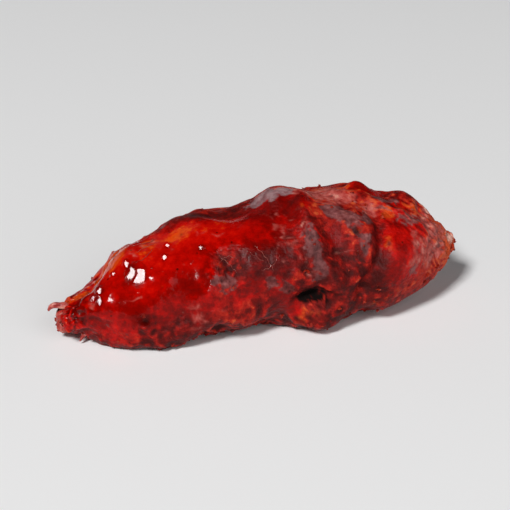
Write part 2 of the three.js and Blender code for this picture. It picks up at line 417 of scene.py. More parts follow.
torn = np.clip(1 - along / TORN_END["share"], 0, 1)
blunt = np.clip(1 - (1 - along) / BLUNT_END["share"], 0, 1)
lift = TORN_END["lift"] * torn**2 + BLUNT_END["lift"] * blunt**2 - PRESS
bow = BOW * (1 - (2 * along - 1) ** 2)
meat = np.stack(
    (
        box_high[0] - (1 - along) * LENGTH,
        bow - radius * np.cos(angle),
        np.maximum(lift + half_height + radius * np.sin(angle), 0),
    ),
    -1,
)
y_low, y_high = meat[..., 1].min(), meat[..., 1].max()
meat[..., 1] += (box_low[1] + box_high[1] - y_low - y_high) / 2
print("meat, in mm:", np.round(meat.reshape(-1, 3).max(0) - meat.reshape(-1, 3).min(0), 1))


# %% Outward directions and neighbours
def outward(surface):
    """The normals of a grid that closes on itself round the piece: the cross product of the way
    round and the way along."""
    way_along = np.gradient(surface, axis=0)
    way_round = np.roll(surface, -1, axis=1) - np.roll(surface, 1, axis=1)
    normal = np.cross(way_along, way_round)
    return normal / np.linalg.norm(normal, axis=-1, keepdims=True)


meat_normal = outward(meat)
edge_along = np.linalg.norm(np.gradient(meat, axis=0), axis=-1)
edge_round = np.linalg.norm(np.roll(meat, -1, axis=1) - np.roll(meat, 1, axis=1), axis=-1) / 2
pull_along = 1 / edge_along**2
pull_round = 1 / edge_round**2
print(f"points {edge_along.mean():.2f} mm apart along, {edge_round.mean():.2f} mm round")


def mean_of_neighbours(field):
    """Each point's four neighbours, averaged, with the closer ones pulling harder."""
    ends = np.concatenate((field[:1], field, field[-1:]))
    mean_along = (ends[:-2] + ends[2:]) / 2
    mean_round = (np.roll(field, 1, axis=1) + np.roll(field, -1, axis=1)) / 2
    return (pull_along * mean_along + pull_round * mean_round) / (pull_along + pull_round)


def blurred(field, rounds):
    """The field after some rounds of moving each point two thirds of the way to its neighbours'
    mean."""
    for _ in range(rounds):
        field = (field + 2 * mean_of_neighbours(field)) / 3
    return field


# %% [markdown]
# ## What differs from place to place
#
# No two centimetres of a glazed tender look alike: one side was smooth skin under a thick pool of glaze,
# another was crumbled batter that hardly took any. All of this could be painted by hand on an unwrapped
# skin, but a painting can't be changed by a number. Each zone below is a place on the skin, as a lump is,
# and what it adds there. "rough" makes the crust craggy, "coat" is glaze in mm, "dark" deepens the colour
# as if the glaze were that many mm deeper, and a negative amount lightens it: in some zones this is
# caramelised sugar, and in the hollows, the waist, the crease, the saddle, the shade zones and low down it
# is painted shade. "bare" lets the golden batter show, "flesh" lets the pink meat show and "cream" the pale
# fat, the sheen effect paints mauve and grey sheen that stands in for the dim panels mirrored in the glaze,
# "flaky" breaks the crust into small tilted plates, "wet" keeps the surface runny and mirror-like, and
# "dull" takes the mirror off it. Edges do the same along a route.

# %% Zones
# Each zone: share of the length, degrees round, its reach along and round the piece in mm, and
# what it adds.
ZONES = {
    "smooth dome": (0.25, 58, 24, 15, dict(rough=-0.3, coat=0.35, dark=-0.12, painted_sheen=-0.3, wet=1.3)),
    "front of the dome": (0.147, 22, 12, 9, dict(rough=-0.25, coat=0.2, wet=1.0)),
    "lower middle of the dome": (0.312, 27, 7.5, 5.5, dict(dark=0.65, painted_sheen=-0.3, wet=0.9)),
    "upper middle of the dome": (0.255, 66, 8, 6, dict(dark=-0.2)),
    "red band": (0.44, 66, 12, 9, dict(rough=-0.25, coat=0.3, dark=-0.34, painted_sheen=-0.3, wet=1.0)),
    "top of the red band": (0.41, 87, 4.5, 3.6, dict(dark=-0.6, wet=0.5)),
    "shade under the grey crest": (0.508, 83, 4, 3.4, dict(dark=0.65, bare=-0.3, painted_sheen=-0.4)),
    "top of the fold": (0.618, 72, 2.5, 3, dict(bare=0.6, dark=-0.4, painted_sheen=-0.4)),
    "red below the crest": (0.58, 80, 6, 4, dict(rough=-0.2, dark=0.7, painted_sheen=-0.5, wet=0.8)),
    "bright middle of the dome": (0.335, 58, 7, 7, dict(dark=-0.2)),
    "orange on the dome": (0.305, 85, 4, 2.6, dict(bare=0.6, dark=-0.75)),
    "orange by the torn rim": (0.145, 92, 4, 4, dict(bare=0.5, dark=-0.9)),
    "behind the torn rim": (0.2, 122, 12, 5, dict(rough=0.2, coat=-0.2, bare=0.4)),
    "torn end": (0.0, 0, 3.4, 60, dict(rough=0.7, coat=-0.2, flesh=0.9, wet=0.2)),
    "inside of the torn end": (0.036, 36, 3, 4, dict(rough=0.5, dark=0.5, flesh=-0.9, wet=0.8)),
    "pale spot by the torn end": (0.073, 33, 1.2, 1.4, dict(flesh=0.75, dark=-0.3)),
    "dark red behind the torn end": (0.085, 7, 4, 3.8, dict(rough=0.15, dark=0.6, flesh=-0.3)),
    "pale streaks by the torn rim": (0.215, 80, 5, 3.6, dict(dark=-0.4, flesh=0.35)),
    "top of the dome": (0.265, 90, 6, 3.4, dict(dark=-0.35, wet=0.3)),
    "jaw": (0.125, -13, 9, 3.6, dict(rough=-0.2, dark=-0.35, painted_sheen=0.2, wet=-0.4)),
    "foot of the dome": (0.23, 12, 12, 4, dict(dark=-0.25, wet=0.5)),
    # Painted shade: this spot on the ledge is darkened.
    "dark spot on the ledge": (0.188, -3, 3.4, 4.4, dict(rough=0.5, dark=1.3, wet=-0.2)),
    "ledge": (0.3, -8, 16, 6, dict(rough=0.1, dark=0.1, painted_sheen=0.1, wet=-0.3)),
    "smooth skin on the ledge": (
        0.318, -5, 4.6, 4.4,
        dict(rough=-0.5, painted_sheen=-0.8, bare=-0.8, flesh=0.4, dark=0.35),
    ),
    # Painted shade: the hollow in the ledge is darkened.
    "hollow in the ledge": (0.26, -8, 4, 3.6, dict(dark=0.75, bare=-0.4)),
    "brown end of the ledge": (
        0.49, -9, 5.6, 4.4,
        dict(rough=-0.15, dark=0.8, bare=-0.6, painted_sheen=-0.1, wet=-0.2),
    ),
    "red spot above the ledge": (0.43, 9, 2.6, 2.4, dict(painted_sheen=-0.7, coat=0.2, dark=0.15, wet=2.0)),
    # Painted shade: the underside of the ledge is darkened.
    "under the ledge": (0.3, -38, 34, 7, dict(rough=0.6, coat=-0.15, dark=0.4, bare=0.1, wet=-0.5)),
    "crusty patch": (0.388, 35, 5.5, 6.5, dict(rough=0.5, coat=-0.3, dark=0.55, bare=0.15, wet=-1.8)),
    # Painted shade: the waist is darkened.
    "waist": (0.475, 31, 7, 6.5, dict(rough=0.05, dark=1.3, painted_sheen=-0.9, bare=-0.5, wet=0.2)),
    "drapery": (0.53, 47, 3, 8, dict(rough=0.1, flesh=0.35, painted_sheen=0.15, dark=0.4, wet=-0.5)),
    "bits above the pit": (0.566, 12, 3.4, 4.4, dict(rough=0.35, bare=0.2, dark=0.5, flesh=0.2, wet=-0.6)),
    "burnt rim": (0.577, -5, 5, 4.4, dict(rough=0.3, dark=0.6, bare=-0.3, wet=-0.4)),
    "right of the pit": (0.622, -9, 2.8, 3, dict(dark=-0.25, flesh=0.1)),
    "shade right of the low lump": (0.64, -22, 3, 2.6, dict(dark=0.6)),
    "red lip of the pit": (0.53, -13, 2.8, 3, dict(rough=-0.2, painted_sheen=-0.8, bare=-1.0, dark=0.2, wet=2.0)),
    "low lump": (0.56, -18, 2.6, 2.4, dict(bare=1.0, dark=-0.8)),
    "side of the low lump": (0.575, -24, 5, 3.6, dict(bare=0.1, dark=0.25, wet=-0.2)),
    "behind the low lump": (0.645, -20, 4, 4.5, dict(rough=-0.3)),
    "fold": (0.59, 36, 2.4, 8, dict(dark=0.9, painted_sheen=0.4)),
    "pink top of the fold": (0.581, 57, 1.8, 2.2, dict(flesh=0.45, painted_sheen=-0.5)),
    # Painted shade: the hollow is darkened.
    "dark hollow": (0.65, 26, 4, 9, dict(dark=0.8, bare=-0.3, painted_sheen=-0.2, wet=-0.1)),
    "front hump": (0.7, 52, 9, 10, dict(rough=0.1, bare=-0.2, painted_sheen=0.1, wet=-0.7)),
    "orange on the hump": (0.682, 49, 1.3, 1.8, dict(bare=0.8, dark=-0.4)),
    "red on the hump": (0.657, 40, 2.0, 3.2, dict(rough=-0.2, painted_sheen=-1.2, bare=-0.7, wet=2.0)),
    "ring round the blister": (0.703, 43, 1.6, 1.6, dict(bare=0.8, dark=-0.1)),
    "pale middle of the hump": (0.695, 55, 1.6, 1.8, dict(flesh=0.7, painted_sheen=-0.3, dark=-0.2)),
    # Painted shade: the crease and the skin below it are darkened.
    "crease": (0.754, 30, 2.5, 9, dict(rough=-0.1, dark=0.55, bare=-0.4, painted_sheen=-0.4)),
    "below the crease": (0.745, 4, 3.4, 4, dict(dark=0.65)),
    "lower crease": (0.753, 19, 2.2, 2.6, dict(dark=0.7, bare=-0.4)),
    "pool": (0.812, 30, 6, 8, dict(rough=-0.35, coat=0.25, dark=-0.4, painted_sheen=-0.3, wet=1.4)),
    "shade beside the pool": (0.808, 50, 3.6, 4.5, dict(dark=0.35)),
    "low end of the pool": (0.786, 15, 3, 3, dict(rough=-0.3, dark=0.3, bare=-0.4, painted_sheen=-0.8, wet=1.2)),
    "pool's grainy side": (0.774, 29, 2.2, 4.6, dict(bare=1.0, dark=-0.6, painted_sheen=-1.0, flesh=-0.3, wet=-0.1)),
    "round the pool": (0.84, 38, 14, 16, dict(dark=0.3)),
    "mauve above the pool": (0.832, 45, 1.4, 2.0, dict(dark=0.3, painted_sheen=0.3, flesh=-0.3)),
    "pale sinew above the pool": (0.852, 58, 1.6, 1.8, dict(flesh=0.6, painted_sheen=-0.6, dark=-0.3)),
    "duller half": (0.74, 30, 28, 40, dict(dull=0.75)),
    # Painted shade: the low haunch is darkened as if in shadow.
    "haunch": (0.69, 2, 9, 9, dict(rough=0.2, dark=0.5, bare=-0.2, wet=-0.5)),
    "foot of the haunch": (0.7, -14, 9, 4, dict(rough=0.15, dark=0.4, bare=0.1, wet=-0.5)),
    "upper orange spot": (0.797, 64, 2.2, 2.6, dict(bare=1.1, dark=-1.0, wet=0.3)),
    "crest orange spot": (0.876, 81, 2.8, 2.6, dict(bare=0.9, dark=-0.8)),
    "red between the sinews": (0.878, 42, 1.6, 2.6, dict(flesh=-0.9, painted_sheen=-1.0, dark=0.2, wet=0.7)),
    "pale side of the hump": (0.758, 72, 2.4, 3.2, dict(flesh=0.9, dark=-0.5)),
    "red lump": (0.775, 108, 4, 3.4, dict(rough=-0.2, dark=0.35, painted_sheen=-1.2, flesh=-0.8, wet=0.9)),
    "end crest": (0.86, 96, 5, 4, dict(rough=0.35, dark=0.2)),
    "pale crest": (
        0.63, 106, 10, 3.4,
        dict(rough=-0.1, flesh=1.1, painted_sheen=-0.3, bare=0.4, dark=-0.6, wet=-0.4),
    ),
    "pale haunch top": (0.69, 90, 5.6, 4, dict(rough=0.1, flesh=0.85, dark=-0.3, wet=-0.4)),
    # Painted shadow: the saddle is darkened as if something lay over it.
    "saddle": (0.39, 108, 17, 5, dict(dark=0.8, wet=-1.5)),
    "pink end": (0.9, 20, 6.4, 12, dict(rough=-0.1, flesh=0.95, dark=-0.3, wet=-0.2)),
    "blunt tip": (0.97, 50, 5, 14, dict(rough=0.3, coat=-0.1, bare=0.35, flesh=0.3, dark=-1.0, wet=-0.3)),
    "cream on the blunt tip": (0.975, 52, 1.6, 2.6, dict(cream=1.15)),
    "cream on the end crest": (0.924, 101, 1.4, 2.0, dict(cream=1.15)),
    "back shoulder": (0.28, 180, 20, 14, dict(rough=0.5, wet=0.1)),
    "back haunch": (0.7, 178, 16, 12, dict(rough=0.4, dark=0.5, wet=-0.1, flaky=0.7)),
    "back foot": (0.45, 212, 34, 5, dict(rough=0.4, coat=-0.2, bare=0.7, wet=-0.4)),
}

# %% Edges
# Each edge: its route over the skin, its reach to either side in mm, and what it adds.
EDGES = {
    "rim of the blunt end": (
        [(0.72, -21), (0.76, -15), (0.83, -13), (0.903, -15), (0.95, -8), (0.985, 21)],
        2.6,
        dict(rough=-0.15, coat=-0.1, dark=0.05, bare=0.3, flesh=-0.8, painted_sheen=-0.7, wet=-0.5),
    ),
    "torn edge of the dome": (
        [(0.02, 125), (0.058, 94), (0.097, 112), (0.12, 117), (0.15, 113), (0.22, 124)],
        1.3,
        dict(rough=0.2, coat=-0.3, dark=-0.9, bare=1.1, flesh=-0.6, painted_sheen=-0.9, wet=-0.1),
    ),
    "shore of the pool": (
        [(0.83, 48), (0.846, 30), (0.835, 14), (0.8, 8)],
        1.3,
        dict(flesh=0.4, wet=-0.4),
    ),
}
EDGE_STRAYING = 0.8


# %% What zones and edges add up to
def zoned(effect, start):
    """One effect over the whole skin: its start value and what the zones and the edges add."""
    total = start
    for route, reach, effects in EDGES.values():
        if effect in effects:
            total = total + effects[effect] * bell(gap_to_route(route, EDGE_STRAYING) / reach)
    for *place, effects in ZONES.values():
        if effect in effects:
            total = total + effects[effect] * near(*place, straying=1.0)
    return total


print(len(ZONES), "zones and", len(EDGES), "edges")

# %% [markdown]
# ## The crust
#
# Batter fries into rounded blobs where it was thick, with cracks between them, and into fine
# roughness where it was thin. A displacement texture could add this when the picture is made, but
# the glaze has to lie on it, so it is worked out here. Blobs are scattered half spheres, folds of
# batter are the ridges of a noise, and both are bent by another noise so that nothing lines up.

# %% Where the crust is craggy
def report(name, field):
    """Prints a field's values at 5, 50 and 95 % of the points."""
    print(name, "at 5, 50 and 95 % of the points:", np.round(np.percentile(field, (5, 50, 95)), 2))


EVERYWHERE = 0.35  # how craggy the crust is outside the zones
BEND_MM = 2.2  # how far the noise bends the crust's patterns
craggy = zoned("rough", EVERYWHERE) * (1 + 0.45 * layered_noise(meat, 9.0, seed=11, layers=2))
craggy = np.clip(craggy, 0.04, 1.2)
bends = [layered_noise(meat, 5.0, seed=20 + 3 * k, layers=2) for k in range(3)]
bent = meat + BEND_MM * np.stack(bends, -1)
report("cragginess", craggy)


# %% Crust relief
def pebbled(size, seed, spread):
    """Scattered half spheres, 1 high, and the number of the one that each point belongs to. spread is
    their radius in cells."""
    gap, _, number = nearest_scattered(bent, size, seed)
    return np.sqrt(np.clip(1 - (gap / spread) ** 2, 0, 1)), number


BLOB_MM = 3.9
CRUMB_MM = 1.7
WRINKLE_MM = 7.0
GRAIN_MM = 1.1
CRAGS_SINK = 1.6  # in mm, so that they sink in about as often as they stand out
blobs, blob_number = pebbled(BLOB_MM, seed=31, spread=0.85)
crumbs, crumb_number = pebbled(CRUMB_MM, seed=36, spread=0.75)
wrinkles = 1 - 2.2 * np.abs(smooth_noise(bent * (1.6, 1, 1), WRINKLE_MM, seed=41))
grain = layered_noise(bent, GRAIN_MM, seed=51, layers=2, fade=0.6)
crags = 1.1 * blobs * (0.35 + 0.9 * blob_number) + wrinkles + crumbs * crumb_number + 0.5 * grain
crags = crags - CRAGS_SINK
report("crags, in mm,", crags)

# %% Flakes
# Where the batter set as a skin it broke into flakes, each a little plate with a tilt of its own.
FLAKE_MM = 5.5
FLAKE_TILT = 0.17
_, way, flake_number = nearest_scattered(bent, FLAKE_MM, seed=68)
facing = 2 * np.pi * flake_number
flakes = FLAKE_TILT * FLAKE_MM * (way[..., 0] * np.cos(facing) + way[..., 2] * np.sin(facing))
flaky = np.clip(zoned("flaky", 0.0), 0, 1)
print(f"flaky over {(flaky > 0.3).mean():.0%} of the points")

# %% The crust
SWELL_MM = 0.45
RIPPLE_MM = 0.22
SMOOTH_DOME = (0.2, 54, 15, 11)  # here the batter set as smooth as glass, with no swells at all
swells = layered_noise(meat, 11.0, seed=61, layers=2)
ripples = smooth_noise(bent, 6.0, seed=66)
crust = (1 - near(*SMOOTH_DOME)) * (SWELL_MM * swells + RIPPLE_MM * ripples)
crust = crust + craggy * crags + flaky * flakes
report("crust relief, in mm,", crust)

# %% [markdown]
# Towards the blunt end the meat's own strands show through the batter, as fine ridges that run
# beside the sinew. A cosine of the distance from the sinew makes them, faded with that distance.

# %% Strands beside the sinew
STRAND_MM = 1.7  # from one ridge to the next
STRAND_RISE_MM = 0.24
sinew_gap = gap_to_route(FOLDS["sinew"][0], straying=0.6)
stripes = np.cos(2 * np.pi * sinew_gap / STRAND_MM + 3.0 * smooth_noise(meat, 9.0, seed=71))
strand_share = bell(sinew_gap / 7.0)
strand_share = strand_share * smooth_step(0.78, 0.88, along) * smooth_step(0.965, 0.91, along)
crust = crust + STRAND_RISE_MM * stripes * strand_share
print(f"strands show over {(strand_share > 0.3).mean():.0%} of the points")

# %% [markdown]
# ## The glaze
#
# A thick glaze drags on the crust and levels itself between the crests, as oil does over gravel. It
# could be a second skin of clear red syrup round the crust, but light bent through a skin that thin
# is slow and grainy to render. So the glaze's outside is the piece's surface, and its depth is kept
# as a number at each point, which gives it its colour. It starts as an uneven coat, and each round
# its surface moves towards the mean of its neighbours, faster where the coat is thick, without ever
# sinking under the crust. What is left is smooth in the hollows, with a rounded rim round each crest.

# %% Pour it and let it level
COAT = 0.34  # the coat outside the zones, and its least and greatest depth, all in mm
THINNEST = 0.04
THICKEST = 1.3
ROUNDS = 22
coat = zoned("coat", COAT) * (1 + 0.7 * layered_noise(meat, 6.0, seed=81, layers=2))
coat = np.clip(coat, THINNEST, THICKEST)
flow = 0.75 * smooth_step(0.05, 0.6, coat)
glaze = crust + coat
for _ in range(ROUNDS):
    glaze = np.maximum(glaze + flow * (mean_of_neighbours(glaze) - glaze), crust + THINNEST)
depth = glaze - crust
report("glaze depth, in mm,", depth)


# %% Crevices
def hollow(rounds, full_mm):
    """How far each point lies under its surroundings, blurred over a number of rounds, as a share of
    the depth that counts as a full hollow."""
    return (blurred(glaze, rounds) - glaze) / full_mm


crevice = np.clip(0.4 * hollow(24, full_mm=0.35) + 0.8 * hollow(4, full_mm=0.08), -0.55, 1)
report("crevices", crevice)

# Runny glaze has faint ripples of its own.
RIPPLES_MM = 0.03
wetness = zoned("wet", -0.15)
rippled = smooth_step(0, 0.6, wetness) * layered_noise(meat, 1.5, seed=79, layers=2)
glaze = glaze + RIPPLES_MM * rippled

# %% [markdown]
# Where the glaze was thickest it also stands in drops, which set with an almost flat top. All the tops
# are made to lean one way, to the front left, so that they mirror the key lamp towards the camera. A
# round drop would show the lamp as a pinpoint, and a flat top shows it as a patch with an edge.

# %% Drops of glaze
# Each drop: share of the length, degrees round, reach along and round in mm, and how high it stands.
DROPS = [
    (0.184, 51, 2.0, 2.6, 0.22),
    (0.167, 54, 1.3, 1.5, 0.2),
    (0.164, 67, 0.7, 1.0, 0.15),
    (0.098, 54, 0.8, 1.0, 0.15),
    (0.09, 37, 0.9, 1.2, 0.15),
    (0.08, 45, 0.9, 0.7, 0.15),
    (0.133, 66, 0.6, 0.6, 0.1),
    (0.266, 73, 0.8, 0.9, 0.1),
    (0.25, 57, 0.9, 0.8, 0.1),
    (0.335, 54, 0.8, 0.8, 0.1),
]
DROP_LEAN = np.array((-0.345, -0.70, 0.625))
DROP_DEPTH = 0.3  # how much deeper, in mm, the glaze is under a drop
STEEPEST = 0.6  # how far in mm a drop's top may stand off the glaze round it
ragged = 0.2 * layered_noise(meat, 1.8, seed=78, layers=2)


def flat_top(place, rise):
    """The height over the meat of a plane that leans like the drops' tops and stands a little above
    the glaze at the drop's middle: the gap to the plane divided by how squarely the meat's outward
    direction meets it."""
    centre = np.unravel_index(reaches_from(*place).argmin(), glaze.shape)
    middle_of_drop = meat[centre] + meat_normal[centre] * glaze[centre]
    return ((middle_of_drop - meat) @ DROP_LEAN + rise) / np.maximum(meat_normal @ DROP_LEAN, 0.3)


for *drop_place, drop_rise in DROPS:
    in_drop = smooth_step(1.25, 0.85, reaches_from(*drop_place) + ragged)
    glaze = glaze + in_drop * np.clip(flat_top(drop_place, drop_rise) - glaze, -STEEPEST, STEEPEST)
    depth = depth + DROP_DEPTH * in_drop
print(len(DROPS), "drops")

# %% The finished surface
SETTLE = 0.45  # how far the whole is drawn in, so that crust and glaze stay by the frame's box
surface = meat + meat_normal * (glaze - SETTLE)[..., None]
surface[..., 2] = np.maximum(surface[..., 2], 0)
finished_normal = outward(surface)
print("finished, in mm:", np.round(np.ptp(surface.reshape(-1, 3), axis=0), 1))

# %% [markdown]
# Mauve patches, and grey ones on the crest, are painted sheen: colour that stands in for the dim panels and
# the lamp behind as the glaze would mirror them. It lies in ragged patches and in streaks beside the sinew.

# %% Painted sheen patches
# Each patch: share of the length, degrees round, reach along and round in mm, and how grey it is.
SHEEN_PLACES = [
    (0.368, 23, 2.6, 2.4, 0.1),
    (0.347, 20, 1.8, 3.4, 0.1),
    (0.388, 16, 2.2, 3.0, 0.1),
    (0.38, 38, 2.4, 2.6, 0.0),
    (0.474, 13, 2.4, 2.2, 0.1),
    (0.496, 10, 2.6, 2.4, 0.1),
    (0.522, 3, 2.0, 2.4, 0.0),
    (0.538, 33, 1.8, 3.4, 0.1),
    (0.583, 44, 2.0, 4.5, 0.2),
    (0.598, 22, 2.2, 5.0, 0.2),
    (0.662, 72, 2.8, 2.4, 0.2),
    (0.68, 63, 3.4, 3.0, 0.2),
    (0.7, 54, 3.0, 2.4, 0.1),
    (0.742, 54, 2.0, 3.4, 0.2),
    (0.715, 33, 2.6, 3.6, 0.2),
    (0.838, 5, 1.6, 2.8, 0.2),
    (0.85, 50, 4.0, 2.4, 0.1),
    (0.82, 88, 4.0, 1.6, 0.2),
    (0.51, 105, 4.0, 3.6, 1.0),
    (0.55, 101, 4.0, 2.0, 1.0),
    (0.58, 102, 3.6, 2.4, 1.0),
    (0.56, 150, 8.0, 6.0, 0.2),
    (0.36, 170, 6.0, 5.0, 0.1),
]
sheen_patches = [near(*place, straying=0.9) for *place, _ in SHEEN_PLACES]
greyed = sum(greyness * patch for patch, (*_, greyness) in zip(sheen_patches, SHEEN_PLACES))
grey = greyed / (sum(sheen_patches) + 0.1)
streaks = (0.4 + 0.3 * stripes) * bell(sinew_gap / 5.0) * smooth_step(0.72, 0.8, along)
sheened = sum(sheen_patches) + zoned("painted_sheen", 0.0) + streaks


# %% Ragged edges
def flecked(amount, low, high, size, seed, strength=0.5, layers=3, fade=0.5):
    """A look with ragged edges: the amount of it and a noise are added up and go through a smooth
    step, so that it is whole inside its zones, comes in flecks at their edges and then ends."""
    return smooth_step(low, high, amount + strength * layered_noise(bent, size, seed, layers, fade))


painted_sheen = flecked(0.8 * sheened - 0.12 * craggy, 0.36, 0.56, 3.0, seed=93, strength=0.55, layers=4, fade=0.6)
bare = flecked(zoned("bare", 0.0) - 0.3 * crevice, 0.35, 0.95, 2.2, seed=95)
flesh = flecked(zoned("flesh", 0.0), 0.3, 0.9, 2.4, seed=99)
cream = flecked(zoned("cream", -0.2), 0.35, 0.8, 1.2, seed=107)
print(f"film {painted_sheen.mean():.0%}, bare batter {bare.mean():.0%}, meat {flesh.mean():.0%} of the points")

# %% Burnt places
BURNT_PIT = (0.58, -8, 3.9, 2.6)
SMALL_BLISTER = (0.703, 43, 0.8, 0.8)
char = flecked(near(*BURNT_PIT), 0.3, 0.66, 1.3, seed=103, strength=0.42, layers=4)
char = np.maximum(char, 0.8 * near(*SMALL_BLISTER))
print(f"burnt over {(char > 0.5).mean():.1%} of the points")

# %% [markdown]
# The colour darkens unevenly: in the dark zones, which are caramelised sugar in some places and painted
# shade in others, and in flecks where the crust is craggy. It is darker low down as well, which is painted
# shade. What faces down is duller too. Where the glaze ran off, it only soaked into the batter, which then
# looks browner and mirrors little.

# %% Caramel and painted shade
CARAMEL = 0.12  # outside the zones, in mm of extra depth
# Painted shade: the lower side is darkened as if shaded.
shade_low_down = smooth_step(-0.1, -0.7, np.sin(angle))
uneven_frying = layered_noise(meat, 4.0, seed=97, layers=3)
caramel_and_shade = zoned("dark", CARAMEL) + 0.55 * shade_low_down - 0.15 * stripes * strand_share
caramel_and_shade = caramel_and_shade + (0.12 + 0.2 * smooth_step(0.2, 0.6, craggy)) * uneven_frying
report("caramel, in mm,", caramel_and_shade)

# %% Wet and soaked
runny = wetness + 0.6 * layered_noise(bent, 5.5, seed=91, layers=3) + 0.4 * (depth - 0.3)
broken = 0.4 * np.maximum(flaky, painted_sheen)
undrained = 1 - 0.5 * smooth_step(0.45, 0.2, finished_normal[..., 2])
wet = 0.6 * smooth_step(-0.1, 0.1, runny) + 0.4 * smooth_step(0.35, 0.6, runny)
wet = np.minimum(wet, 1 - broken) * (1 - char) * (1 - np.clip(zoned("dull", 0.0), 0, 1)) * undrained
soaked = np.maximum(smooth_step(0.3, -0.4, runny), broken)
print(f"wet over {wet.mean():.0%} of the points")


# %% From grids to a mesh
def ringed_mesh(name, grids, attributes):
    """A closed mesh from each grid of rings: quads between neighbouring rings, and a fan of triangles
    from the middle of each end ring. grids has the shape count, rings, sides, 3, and each attribute
    the same without the last; it gets its end ring's mean at the two middles."""
    count, rings, sides = grids.shape[:3]
    whole = rings * sides + 2
    poles = np.stack((grids[:, 0].mean(1), grids[:, -1].mean(1)), 1)
    points = np.concatenate((grids.reshape(count, -1, 3), poles), 1).reshape(-1, 3) * MM
    index = np.arange(rings * sides).reshape(rings, sides)
    after = np.roll(index, -1, axis=1)
    quads = np.stack((index[1:], after[1:], after[:-1], index[:-1]), -1).reshape(-1, 4)
    first_fan = np.stack((np.full(sides, whole - 2), after[0], index[0]), -1)[:, ::-1]
    last_fan = np.stack((np.full(sides, whole - 1), index[-1], after[-1]), -1)[:, ::-1]
    starts = (np.arange(count) * whole)[:, None, None]
    faces = (quads + starts).reshape(-1, 4).tolist()
    faces += (np.concatenate((first_fan, last_fan)) + starts).reshape(-1, 3).tolist()
    mesh = bpy.data.meshes.new(name)
    mesh.from_pydata(points.tolist(), [], faces)
    mesh.polygons.foreach_set("use_smooth", np.ones(len(mesh.polygons), bool))
    for key, values in attributes.items():
        ends = np.stack((values[:, 0].mean(1), values[:, -1].mean(1)), 1)
        layer = mesh.attributes.new(key, "FLOAT", "POINT")
        flat = np.concatenate((values.reshape(count, -1), ends), 1).ravel()
        layer.data.foreach_set("value", flat.astype(np.float32))
    print(name, "has", sum(len(face) - 2 for face in faces), "triangles")
    return in_scene(name, mesh)


# %% [markdown]
# The material can read numbers that are kept at the mesh's points, and blends them between the
# points. So whatever needs no finer pattern than the points is worked out here, once, and not by a
# chain of nodes. Light is lost in a crevice, which looks like 0.7 mm more glaze.

# %% The glazed tender
CREVICE_DEPTH = 0.7
SOAKED_SHARE = 0.7
SHEEN_SHARE = 0.88  # a little of what lies under the painted sheen still shows
skin_looks = dict(
    # The seen depth also carries painted shade: crevices, the shade zones and the darker lower side count
    # as deeper glaze.
    seen_mm=depth + caramel_and_shade + CREVICE_DEPTH * crevice,
    soaked=SOAKED_SHARE * soaked,
    bare=bare,
    flesh=flesh,
    cream=cream,
    # The painted sheen stands in for dim light mirrored in the glaze. Its tone is darker in crevices and
    # where the colour is deepened, which is painted shade.
    painted_sheen=SHEEN_SHARE * painted_sheen,
    sheen_tone=0.05 - 0.12 * crevice - 0.15 * caramel_and_shade,
    grey=grey,
    char=char,
    wet=wet,
)
at_points = {key: values[None] for key, values in skin_looks.items()}
tender = ringed_mesh("tender_glazed", surface[None], at_points)

# %% [markdown]
# ## Torn meat, threads and crumbs
#
# Where the strip was torn from the breast, its strands hang out of the batter. A curve with a bevel
# would make them too, but as smooth tubes, and these are shaggy. So a ring of points is carried along
# a bent line and shrinks towards its end. The same function makes the hair-thin threads of glaze that
# were pulled out when two tenders were parted.

# %% A ring carried along a line
def strand_grids(lines, radii, sides, upright):
    """Rings round each of several lines. Every ring stands across its line: its sideways direction
    is the cross product of the upright and the line's own direction. lines is count, steps, 3."""
    forward = np.gradient(lines, axis=1)
    forward = forward / np.linalg.norm(forward, axis=-1, keepdims=True)
    sideways = np.cross(upright, forward)
    sideways = sideways / np.linalg.norm(sideways, axis=-1, keepdims=True)
    upwards = np.cross(forward, sideways)
    turns = (np.arange(sides) / sides * 2 * np.pi)[:, None]
    ring = np.sin(turns) * upwards[:, :, None] - np.cos(turns) * sideways[:, :, None]
    return lines[:, :, None] + radii[..., None, None] * ring


# %% Torn strands
# Each strand, in mm from the meat's own torn tip: its root, its middle, its tip, its greatest radius
# and how fast it thins, a low number keeping it blunt.
STRANDS = [
    ((4, 1.5, 3.0), (-1.2, 2.2, 5.8), (-2.4, 2.2, 2.6), 1.05, 0.4),
    ((3.6, -2, 1.2), (1.4, -2.6, 1), (0, -2.8, 0.4), 1.5, 0.3),
    ((4, 1, -0.6), (1.6, 1, -1), (0.6, 0.8, -1.5), 1.5, 0.3),
    ((6.8, -2.4, -2.2), (5.8, -3.3, -3.2), (4.6, -3.6, -4.5), 1.0, 0.5),
]
STRAND_STEPS = 26
STRAND_SIDES = 18
STRAND_TIP_MM = 0.04
ROUNDED_ROOT = 0.25  # the share of a strand over which its root is rounded
SHAG = 0.55  # how far shaggy fibres stand off a strand, as a share of its radius
CLEARANCE_MM = 0.05  # the small pieces stay this far off the ground
torn_tip = np.array((meat[0, 0, 0], meat[0, :, 1].mean(), TORN_END["lift"] - PRESS))
down_it = np.linspace(0, 1, STRAND_STEPS)[None, :, None]
roots, elbows, tips = (torn_tip + np.array([s[k] for s in STRANDS])[:, None] for k in range(3))
strand_lines = roots * (1 - down_it) ** 2 + 2 * elbows * down_it * (1 - down_it) + tips * down_it**2
thick, thinning = (np.array([s[k] for s in STRANDS])[:, None] for k in (3, 4))
strand_radii = thick * (1 - down_it[..., 0]) ** thinning
strand_radii = strand_radii * rounded_end(down_it[..., 0] / ROUNDED_ROOT)
strands = strand_grids(strand_lines, np.maximum(strand_radii, STRAND_TIP_MM), STRAND_SIDES, (0, 0, 1))
shaggy = 0.8 * layered_noise(strands * (0.5, 1, 1), 1.6, seed=101, layers=3)
strand_middles = strand_lines[:, :, None]
